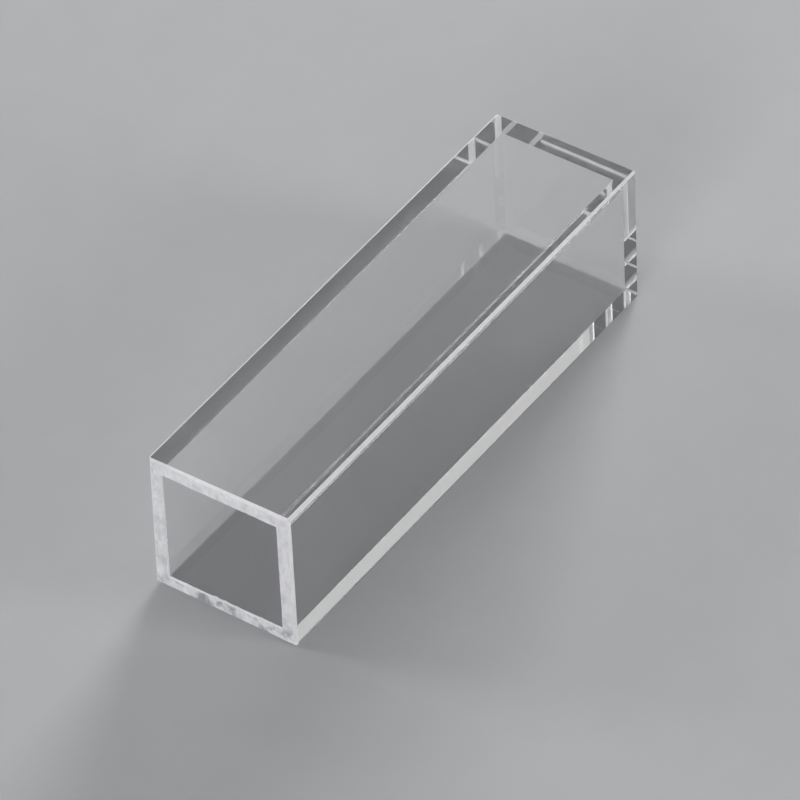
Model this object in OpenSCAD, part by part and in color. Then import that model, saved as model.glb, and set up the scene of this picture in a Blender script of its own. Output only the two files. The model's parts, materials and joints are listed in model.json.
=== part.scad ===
// Square cuvette: a straight-sided clear glass cell, open at the rim and closed by its base.
// It lies on one side wall: X runs along the light path, Y from the rim to the base, Z up.
// The origin is on the surface that it lies on, below the middle of the cell.

/* [Cell] */
// Light path, the clear distance between the two windows
path_length = 10; // [4:0.5:20]
// Clear distance between the two side walls
chamber_width = 10; // [4:0.5:20]
// Overall length from the rim to the outside of the base
cell_length = 45; // [25:0.5:60]

/* [Walls] */
// Thickness of the two windows
window_thickness = 1.25; // [1:0.05:3]
// Thickness of the two side walls
side_thickness = 1.25; // [1:0.05:3]
// Thickness of the base
base_thickness = 1.25; // [1:0.05:4]

/* [Ground edges] */
// Leg of the bevel along the four long edges
long_bevel = 0.2; // [0.05:0.05:0.5]
// Leg of the bevel round the outside of the rim
rim_bevel = 0.2; // [0.05:0.05:0.5]
// Leg of the bevel round the mouth of the chamber
mouth_bevel = 0.1; // [0.05:0.05:0.4]
// Leg of the bevel round the outside of the base
base_bevel = 0.2; // [0.05:0.05:0.5]

/* [Hidden] */
glass_colour = [0.84, 0.90, 0.92, 0.4];
outer_width = path_length + 2 * window_thickness;
outer_height = chamber_width + 2 * side_thickness;
rim_y = -cell_length / 2;
base_y = cell_length / 2;
chamber_end_y = base_y - base_thickness;
axis_z = outer_height / 2;
// How far a cut runs past the face that it opens
cut_margin = 1;

// Rectangle with bevelled corners, centred across; near and far are its ends along Y
module bevelled_rectangle(width, near, far, near_bevel, far_bevel) {
    half = width / 2;
    polygon([
        [-half + near_bevel, near],
        [half - near_bevel, near],
        [half, near + near_bevel],
        [half, far - far_bevel],
        [half - far_bevel, far],
        [-half + far_bevel, far],
        [-half, far - far_bevel],
        [-half, near + near_bevel],
    ]);
}

// Straight channel that widens at 45 degrees to its mouth, and on past it by cut_margin
module channel_outline(width) {
    half = width / 2;
    widest = half + mouth_bevel + cut_margin;
    polygon([
        [-widest, rim_y - cut_margin],
        [widest, rim_y - cut_margin],
        [half, rim_y + mouth_bevel],
        [half, chamber_end_y],
        [-half, chamber_end_y],
        [-half, rim_y + mouth_bevel],
    ]);
}

// Stands an outline drawn in X and Y up through the height of the cell
module through_height() {
    translate([0, 0, axis_z])
        linear_extrude(height = outer_height + 2 * cut_margin, center = true)
            children();
}

// Turns an outline drawn across and along the cell on its side, and runs it through the width
module through_width() {
    translate([0, 0, axis_z])
        rotate([0, -90, 0])
            linear_extrude(height = outer_width + 2 * cut_margin, center = true)
                children();
}

// Runs the cross section along the whole length of the cell
module along_length() {
    translate([0, base_y, axis_z])
        rotate([90, 0, 0])
            linear_extrude(height = cell_length)
                children();
}

// Solid block with every outer edge ground to a bevel, mitred where three of them meet
module outer_block() {
    intersection() {
        along_length()
            bevelled_rectangle(outer_width, -outer_height / 2, outer_height / 2, long_bevel, long_bevel);
        through_height()
            bevelled_rectangle(outer_width, rim_y, base_y, rim_bevel, base_bevel);
        through_width()
            bevelled_rectangle(outer_height, rim_y, base_y, rim_bevel, base_bevel);
    }
}

// The square chamber, with the bevel round its mouth
module chamber() {
    intersection() {
        through_height()
            channel_outline(path_length);
        through_width()
            channel_outline(chamber_width);
    }
}

module cuvette() {
    color(glass_colour)
        difference() {
            outer_block();
            chamber();
        }
}

cuvette();
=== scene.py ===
"""Looks of the square glass cuvette: clear polished walls, a fine-ground rim and ground bevels."""
import json
import math

import bpy
from mathutils import Matrix, Vector, noise


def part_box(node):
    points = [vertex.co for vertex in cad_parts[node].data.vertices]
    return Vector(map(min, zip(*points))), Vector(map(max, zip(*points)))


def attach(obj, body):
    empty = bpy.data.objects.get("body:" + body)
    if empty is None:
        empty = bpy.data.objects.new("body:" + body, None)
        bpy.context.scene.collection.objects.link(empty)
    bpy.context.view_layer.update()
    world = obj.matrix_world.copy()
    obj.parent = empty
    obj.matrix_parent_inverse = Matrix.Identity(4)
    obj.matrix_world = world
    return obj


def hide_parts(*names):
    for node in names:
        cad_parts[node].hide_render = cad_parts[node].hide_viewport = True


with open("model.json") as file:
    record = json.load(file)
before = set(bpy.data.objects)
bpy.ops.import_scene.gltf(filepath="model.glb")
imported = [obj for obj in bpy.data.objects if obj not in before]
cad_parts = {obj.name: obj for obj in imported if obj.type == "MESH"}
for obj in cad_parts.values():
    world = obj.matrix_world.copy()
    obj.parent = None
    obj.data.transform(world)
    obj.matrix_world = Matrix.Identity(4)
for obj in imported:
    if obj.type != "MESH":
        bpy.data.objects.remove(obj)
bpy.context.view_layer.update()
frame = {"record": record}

MM = 0.001
X, Y, Z = 0, 1, 2
POLISHED, RIM, BEVEL, FINE_BEVEL = 0, 1, 2, 3

# Legs of the ground bevels in millimetres at the low and high ends of each outer edge, by the axes
# across the edge and the sides of the cell that it lies on
BEVELS = {
    (X, Y): {(-1, -1): (0.14, 0.32), (1, -1): (0.24, 0.20), (-1, 1): (0.32, 0.32), (1, 1): (0.27, 0.22)},
    (X, Z): {(-1, -1): (0.22, 0.22), (1, -1): (0.15, 0.16), (-1, 1): (0.18, 0.20), (1, 1): (0.27, 0.18)},
    (Y, Z): {(-1, -1): (0.34, 0.16), (1, -1): (0.14, 0.14), (-1, 1): (0.16, 0.22), (1, 1): (0.28, 0.20)},
}
MOUTH_BEVEL = 0.1 * MM
EDGE_STEP = 0.2 * MM
SAME_POINT = 0.0001 * MM

# How far hand-ground edges stray: a slow drift, and small nibbles out of the brittle edge. The rows
# are the places in the noise that the two are read from.
EDGE_DRIFT = 0.004 * MM
EDGE_NIBBLE = 0.012 * MM
MOUTH_DRIFT = 0.02 * MM
MOUTH_NIBBLE = 0.20 * MM
DRIFT_LENGTH = 3.0 * MM
NIBBLE_LENGTH = 0.45 * MM
NIBBLE_LEVEL = 0.25
DRIFT_ROW, NIBBLE_ROW = 0.5, 7.5
CORNER_FADE = 0.4 * MM

# The photograph's camera: directions in degrees, lengths in metres, lens and sensor in millimetres
VIEW_AZIMUTH = 36.458
VIEW_ELEVATION = 42.578
VIEW_ROLL = -2.80
VIEW_DISTANCE = 603.1 * MM
VIEW_AIM = Vector((0.745, -1.047, 4.851)) * MM
VIEW_LENS = 368.66
SENSOR_WIDTH = 36.0

GLASS_IOR = 1.49
BEVEL_CLEARNESS = 0.4
FINE_BEVEL_CLEARNESS = 0.7
LIGHT_BOUNCES = 32

FLOOR_GAP = 0.02 * MM
FLOOR_HALF = 3.0

# The studio's walls: their strength up to one elevation, and from a second one up, in degrees
WORLD_COLOUR = (0.97, 0.98, 1.0, 1)
WORLD_LOW = (12, 0.5)
WORLD_HIGH = (32, 0.12)

# Soft lamps: azimuth and elevation in degrees, distance, width and height in metres, brightness.
# They stand off the cell's own axes and away from the directions that its walls mirror towards the
# photograph's camera, except for the dim panel, which shows in the lower right wall.
LAMPS = {
    "front": (15, 20, 0.7, 0.26, 0.4, 7.0),
    "right": (106, 17, 0.7, 0.22, 0.35, 9.2),
    "left": (-74, 16, 0.7, 0.22, 0.35, 9.2),
    "rear": (195, 11, 0.7, 0.26, 0.24, 38.0),
    "overhead": (0, 90, 0.75, 0.6, 0.6, 0.6),
    "panel": (216.5, 45, 0.8, 0.6, 0.5, 0.5),
}


def unit(axis, sign=1):
    vector = Vector((0, 0, 0))
    vector[axis] = sign
    return vector


class CellMesh:
    """The cell's faces, built from the outer box, the chamber's box and the legs of the bevels."""

    def __init__(self, low, high, chamber_low, chamber_high):
        self.outer = {-1: Vector(low), 1: Vector(high)}
        self.chamber = {-1: Vector(chamber_low), 1: Vector(chamber_high)}
        self.points = []
        self.index = {}
        self.faces = []
        self.finishes = []
        self.lines = {}
        self.seed = 0

    def vertex(self, point):
        key = tuple(round(c / SAME_POINT) for c in point)
        if key not in self.index:
            self.index[key] = len(self.points)
            self.points.append(tuple(point))
        return self.index[key]

    def face(self, points, finish, outward):
        """Adds one face, turned so that its normal points outward."""
        ring = []
        for point in points:
            vertex = self.vertex(point)
            if vertex not in ring[-1:] and vertex not in ring[:1]:
                ring.append(vertex)
        normal = Vector((0, 0, 0))
        origin = Vector(self.points[ring[0]])
        for a, b in zip(ring[1:], ring[2:]):
            normal += (Vector(self.points[a]) - origin).cross(Vector(self.points[b]) - origin)
        if normal.dot(outward) < 0:
            ring.reverse()
        self.faces.append(ring)
        self.finishes.append(finish)

    def strip(self, line_a, line_b, finish, outward):
        """Adds a strip of quads between two lines with as many points."""
        for a, b, c, d in zip(line_a, line_a[1:], line_b[1:], line_b):
            self.face([a, b, c, d], finish, outward)

    def edge_line(self, start, end, inward, drift, nibble, steps):
        """Points from start to end that stray along inward, which lies in the face they bound."""
        self.seed += 1
        length = (end - start).length
        line = []
        for i in range(steps + 1):
            along = length * i / steps
            slow = noise.noise(Vector((along / DRIFT_LENGTH, self.seed, DRIFT_ROW)))
            fine = noise.noise(Vector((along / NIBBLE_LENGTH, self.seed, NIBBLE_ROW)))
            fade = min(1.0, along / CORNER_FADE, (length - along) / CORNER_FADE)
            stray = fade * (drift * slow + nibble * max(0.0, fine - NIBBLE_LEVEL))
            line.append(start.lerp(end, i / steps) + inward * stray)
        return line

    def bevel_leg(self, face_a, face_b, end):
        """Leg of the bevel between two outer faces, each an axis and a side, at its low or high end."""
        (axis_a, side_a), (axis_b, side_b) = sorted((face_a, face_b))
        low, high = BEVELS[axis_a, axis_b][side_a, side_b]
        return (low if end < 0 else high) * MM

    def face_corner(self, face, beside_a, beside_b):
        """Corner of an outer face, inside the bevels towards the two faces beside it."""
        point = Vector((0, 0, 0))
        point[face[0]] = self.outer[face[1]][face[0]]
        for (axis, side), (_, end) in ((beside_a, beside_b), (beside_b, beside_a)):
            leg = self.bevel_leg(face, (axis, side), end)
            point[axis] = self.outer[side][axis] - side * leg
        return point

    def bevel_corner(self, sides):
        """Point where the three bevels at an outer corner meet."""
        faces = list(enumerate(sides))
        pairs = ((Y, Z), (X, Z), (X, Y))
        legs = [self.bevel_leg(faces[a], faces[b], end) for (a, b), end in zip(pairs, sides)]
        insets = [sum(legs) / 2 - leg for leg in legs]
        return Vector([self.outer[s][a] - s * inset for (a, s), inset in zip(faces, insets)])

    def outer_edge(self, face_a, face_b):
        """The bevel between two outer faces, ground finer at the base and along the resting side."""
        finish = FINE_BEVEL if {(Y, 1), (Z, -1)} & {face_a, face_b} else BEVEL
        along = 3 - face_a[0] - face_b[0]
        steps = max(2, round((self.outer[1][along] - self.outer[-1][along]) / EDGE_STEP))
        for face, other in ((face_a, face_b), (face_b, face_a)):
            ends = [self.face_corner(face, other, (along, side)) for side in (-1, 1)]
            inward = unit(other[0], -other[1])
            self.lines[face, other] = self.edge_line(*ends, inward, EDGE_DRIFT, EDGE_NIBBLE, steps)
        line_a, line_b = self.lines[face_a, face_b], self.lines[face_b, face_a]
        outward = unit(*face_a) + unit(*face_b)
        self.strip(line_a, line_b, finish, outward)
        for side, i in ((-1, 0), (1, -1)):
            sides = [0, 0, 0]
            for axis, s in (face_a, face_b, (along, side)):
                sides[axis] = s
            self.face([line_a[i], line_b[i], self.bevel_corner(sides)], finish, outward)

    def outer_face(self, face):
        """A polished outer wall, bounded by its four ground edges."""
        a, b = [axis for axis in (X, Y, Z) if axis != face[0]]
        ring = list(self.lines[face, (a, 1)])
        ring += self.lines[face, (b, 1)][::-1]
        ring += self.lines[face, (a, -1)][::-1]
        ring += self.lines[face, (b, -1)]
        self.face(ring, POLISHED, unit(*face))

    def rim_side(self, wall):
        """One side of the rim: its ground face, the bevel at the mouth and the wall of the chamber."""
        axis, side = wall
        along = 3 - Y - axis
        rim_y = self.outer[-1][Y]

        def ends(y, widen):
            points = []
            for s in (-1, 1):
                point = Vector((0, y, 0))
                point[axis] = self.chamber[side][axis] + side * widen
                point[along] = self.chamber[s][along] + s * widen
                points.append(point)
            return points

        steps = max(2, round((self.chamber[1][along] - self.chamber[-1][along]) / EDGE_STEP))
        stray = (MOUTH_DRIFT, MOUTH_NIBBLE, steps)
        mouth_line = self.edge_line(*ends(rim_y, MOUTH_BEVEL), unit(axis, side), *stray)
        wall_line = self.edge_line(*ends(rim_y + MOUTH_BEVEL, 0), unit(Y), *stray)
        into_chamber = unit(axis, -side)
        self.face(self.lines[(Y, -1), wall] + mouth_line[::-1], RIM, unit(Y, -1))
        self.strip(mouth_line, wall_line, BEVEL, into_chamber + unit(Y, -1))
        self.face(wall_line + ends(self.chamber[1][Y], 0)[::-1], POLISHED, into_chamber)

    def chamber_end(self):
        """The polished inner face of the base."""
        low, high = self.chamber[-1], self.chamber[1]
        ring = [Vector((x, high[Y], z)) for x, z in
                ((low[X], low[Z]), (high[X], low[Z]), (high[X], high[Z]), (low[X], high[Z]))]
        self.face(ring, POLISHED, unit(Y, -1))

    def build(self, name):
        for a, b in ((X, Y), (X, Z), (Y, Z)):
            for side_a in (-1, 1):
                for side_b in (-1, 1):
                    self.outer_edge((a, side_a), (b, side_b))
        walls = [(axis, side) for axis in (X, Z) for side in (-1, 1)]
        for wall in walls:
            self.outer_face(wall)
            self.rim_side(wall)
        self.outer_face((Y, 1))
        self.chamber_end()
        mesh = bpy.data.meshes.new(name)
        mesh.from_pydata(self.points, [], self.faces)
        mesh.polygons.foreach_set("material_index", self.finishes)
        mesh.update()
        piece = bpy.data.objects.new(name, mesh)
        bpy.context.scene.collection.objects.link(piece)
        return piece


class Nodes:
    """A material's node tree, with short calls to add nodes and set their sockets."""

    def __init__(self, name):
        self.material = bpy.data.materials.new(name)
        self.material.use_nodes = True
        self.tree = self.material.node_tree
        self.shader = self.tree.nodes["Principled BSDF"]

    def add(self, kind, **settings):
        node = self.tree.nodes.new(kind)
        for key, value in settings.items():
            setattr(node, key, value)
        return node

    def link(self, output, target):
        self.tree.links.new(output, target)

    def set(self, **values):
        for name, value in values.items():
            self.shader.inputs[name.replace("_", " ")].default_value = value

    def place(self):
        """The piece's own coordinates, in metres."""
        return self.add("ShaderNodeTexCoord").outputs["Object"]

    def noise(self, size, detail=4.0, roughness=0.5):
        """Noise over the piece; size is that of its features along X, Y and Z, in metres."""
        spread = self.add("ShaderNodeMapping")
        spread.inputs["Scale"].default_value = [1 / length for length in size]
        texture = self.add("ShaderNodeTexNoise")
        texture.inputs["Scale"].default_value = 1.0
        texture.inputs["Detail"].default_value = detail
        texture.inputs["Roughness"].default_value = roughness
        self.link(self.place(), spread.inputs["Vector"])
        self.link(spread.outputs["Vector"], texture.inputs["Vector"])
        return texture.outputs["Fac"]

    def ramp(self, value, low, high, start=0.3, end=0.7):
        node = self.add("ShaderNodeMapRange")
        node.inputs["From Min"].default_value = start
        node.inputs["From Max"].default_value = end
        node.inputs["To Min"].default_value = low
        node.inputs["To Max"].default_value = high
        self.link(value, node.inputs["Value"])
        return node.outputs["Result"]

    def blend(self, value, dark, light):
        node = self.add("ShaderNodeValToRGB")
        node.color_ramp.elements[0].position = 0.3
        node.color_ramp.elements[1].position = 0.7
        node.color_ramp.elements[0].color = (*dark, 1)
        node.color_ramp.elements[1].color = (*light, 1)
        self.link(value, node.inputs["Fac"])
        return node.outputs["Color"]

    def bump(self, height, distance, strength=1.0):
        node = self.add("ShaderNodeBump")
        node.inputs["Distance"].default_value = distance
        node.inputs["Strength"].default_value = strength
        self.link(height, node.inputs["Height"])
        self.link(node.outputs["Normal"], self.shader.inputs["Normal"])


def polished_glass():
    nodes = Nodes("polished_glass")
    nodes.set(Base_Color=(0.995, 0.997, 0.996, 1), IOR=GLASS_IOR, Transmission_Weight=1.0)
    film = nodes.noise((6 * MM,) * 3, detail=3.0)
    nodes.link(nodes.ramp(film, 0.0, 0.02, start=0.5, end=0.75), nodes.shader.inputs["Roughness"])
    return nodes.material


def ground_rim():
    """White ground glass with marks along Z from the grinding, and dark grey patches that are strongest low
    on the rim.
    """
    nodes = Nodes("ground_rim")
    nodes.set(IOR=GLASS_IOR, Transmission_Weight=0.1)
    marks = nodes.noise((0.5 * MM, 0.5 * MM, 1.0 * MM), detail=6.0, roughness=0.62)
    white = nodes.blend(marks, (0.60, 0.595, 0.625), (0.83, 0.825, 0.855))
    # Dark grey patches over the white: full strength in the lowest millimetre or two of the rim, weaker
    # above
    dark_patches = nodes.ramp(nodes.noise((1.1 * MM,) * 3, detail=4.0), 0.0, 1.0, start=0.52, end=0.68)
    height = nodes.add("ShaderNodeSeparateXYZ")
    nodes.link(nodes.place(), height.inputs["Vector"])
    low = nodes.ramp(height.outputs["Z"], 1.0, 0.4, start=1.0 * MM, end=2.0 * MM)
    share = nodes.add("ShaderNodeMath", operation="MULTIPLY")
    nodes.link(dark_patches, share.inputs[0])
    nodes.link(low, share.inputs[1])
    colour = nodes.add("ShaderNodeMix", data_type="RGBA")
    nodes.link(share.outputs["Value"], colour.inputs["Factor"])
    nodes.link(white, colour.inputs["A"])
    colour.inputs["B"].default_value = (0.30, 0.30, 0.315, 1)
    nodes.link(colour.outputs["Result"], nodes.shader.inputs["Base Color"])
    nodes.link(nodes.ramp(marks, 0.75, 0.5), nodes.shader.inputs["Roughness"])
    nodes.bump(nodes.noise((0.06 * MM,) * 3, detail=3.0), 0.01 * MM, 0.6)
    return nodes.material


def ground_bevel(name, clearness):
    """White ground glass that also lets light through, the more so the finer it is ground."""
    nodes = Nodes(name)
    nodes.set(IOR=GLASS_IOR, Transmission_Weight=clearness)
    mottle = nodes.noise((0.5 * MM,) * 3, detail=6.0, roughness=0.65)
    white = nodes.blend(mottle, (0.86, 0.86, 0.87), (0.97, 0.97, 0.975))
    nodes.link(white, nodes.shader.inputs["Base Color"])
    nodes.link(nodes.ramp(mottle, 0.9, 0.7), nodes.shader.inputs["Roughness"])
    nodes.bump(nodes.noise((0.06 * MM,) * 3, detail=3.0), 0.01 * MM, 0.6)
    return nodes.material


def floor_finish():
    nodes = Nodes("pale_floor")
    nodes.set(Roughness=0.75, Specular_IOR_Level=0.2)
    tone = nodes.noise((4 * MM,) * 3, detail=5.0)
    pale = nodes.blend(tone, (0.395, 0.40, 0.41), (0.405, 0.41, 0.42))
    nodes.link(pale, nodes.shader.inputs["Base Color"])
    return nodes.material


def make_cell():
    low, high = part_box("cuvette")
    opening = next(o for o in frame["record"]["physics"]["openings"] if o["name"] == "sample_chamber")
    cell = CellMesh(low, high, *opening["box_m"]).build("glass_cell")
    cell.data.materials.append(polished_glass())
    cell.data.materials.append(ground_rim())
    cell.data.materials.append(ground_bevel("ground_bevel", BEVEL_CLEARNESS))
    cell.data.materials.append(ground_bevel("fine_bevel", FINE_BEVEL_CLEARNESS))
    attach(cell, "root")
    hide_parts("cuvette")


def make_floor():
    mesh = bpy.data.meshes.new("floor")
    corners = [(x * FLOOR_HALF, y * FLOOR_HALF, -FLOOR_GAP) for x, y in ((-1, -1), (1, -1), (1, 1), (-1, 1))]
    mesh.from_pydata(corners, [], [(0, 1, 2, 3)])
    mesh.materials.append(floor_finish())
    floor = bpy.data.objects.new("floor", mesh)
    bpy.context.scene.collection.objects.link(floor)


def direction(azimuth, elevation):
    """Unit vector from the cell towards a place seen from it; azimuth 0 is the rim's side."""
    a, e = math.radians(azimuth), math.radians(elevation)
    return Vector((math.sin(a) * math.cos(e), -math.cos(a) * math.cos(e), math.sin(e)))


def make_lamp(name, azimuth, elevation, distance, width, height, brightness):
    """A soft panel that faces the cell; brightness is its radiance, 1 for a panel that renders white."""
    light = bpy.data.lights.new(name, "AREA")
    light.shape = "RECTANGLE"
    light.size, light.size_y = width, height
    light.energy = brightness * math.pi * width * height
    lamp = bpy.data.objects.new(name, light)
    away = direction(azimuth, elevation)
    lamp.location = away * distance
    lamp.rotation_mode = "QUATERNION"
    lamp.rotation_quaternion = away.to_track_quat("Z", "Y")
    lamp.visible_camera = False
    bpy.context.scene.collection.objects.link(lamp)


def make_world():
    """A studio that is pale round the horizon and dim overhead."""
    world = bpy.data.worlds.new("studio")
    world.use_nodes = True
    tree = world.node_tree
    background = tree.nodes["Background"]
    background.inputs["Color"].default_value = WORLD_COLOUR
    heading = tree.nodes.new("ShaderNodeTexCoord")
    split = tree.nodes.new("ShaderNodeSeparateXYZ")
    level = tree.nodes.new("ShaderNodeMapRange")
    for end, (elevation, strength) in (("Min", WORLD_LOW), ("Max", WORLD_HIGH)):
        level.inputs["From " + end].default_value = math.sin(math.radians(elevation))
        level.inputs["To " + end].default_value = strength
    tree.links.new(heading.outputs["Generated"], split.inputs["Vector"])
    tree.links.new(split.outputs["Z"], level.inputs["Value"])
    tree.links.new(level.outputs["Result"], background.inputs["Strength"])
    bpy.context.scene.world = world


def make_camera():
    data = bpy.data.cameras.new("camera")
    data.sensor_width = SENSOR_WIDTH
    data.lens = VIEW_LENS
    data.clip_start = 0.01
    data.clip_end = 20.0
    camera = bpy.data.objects.new("camera", data)
    back = direction(VIEW_AZIMUTH, VIEW_ELEVATION)
    turn = (-back).to_track_quat("-Z", "Y").to_matrix().to_4x4()
    roll = Matrix.Rotation(math.radians(VIEW_ROLL), 4, "Z")
    camera.matrix_world = Matrix.Translation(VIEW_AIM + back * VIEW_DISTANCE) @ turn @ roll
    bpy.context.scene.collection.objects.link(camera)
    bpy.context.scene.camera = camera


def set_render():
    scene = bpy.context.scene
    scene.view_settings.view_transform = "Standard"
    scene.cycles.max_bounces = LIGHT_BOUNCES
    scene.cycles.glossy_bounces = LIGHT_BOUNCES
    scene.cycles.transmission_bounces = LIGHT_BOUNCES


make_cell()
make_floor()
make_world()
for lamp_name, lamp_values in LAMPS.items():
    make_lamp(lamp_name, *lamp_values)
make_camera()
set_render()
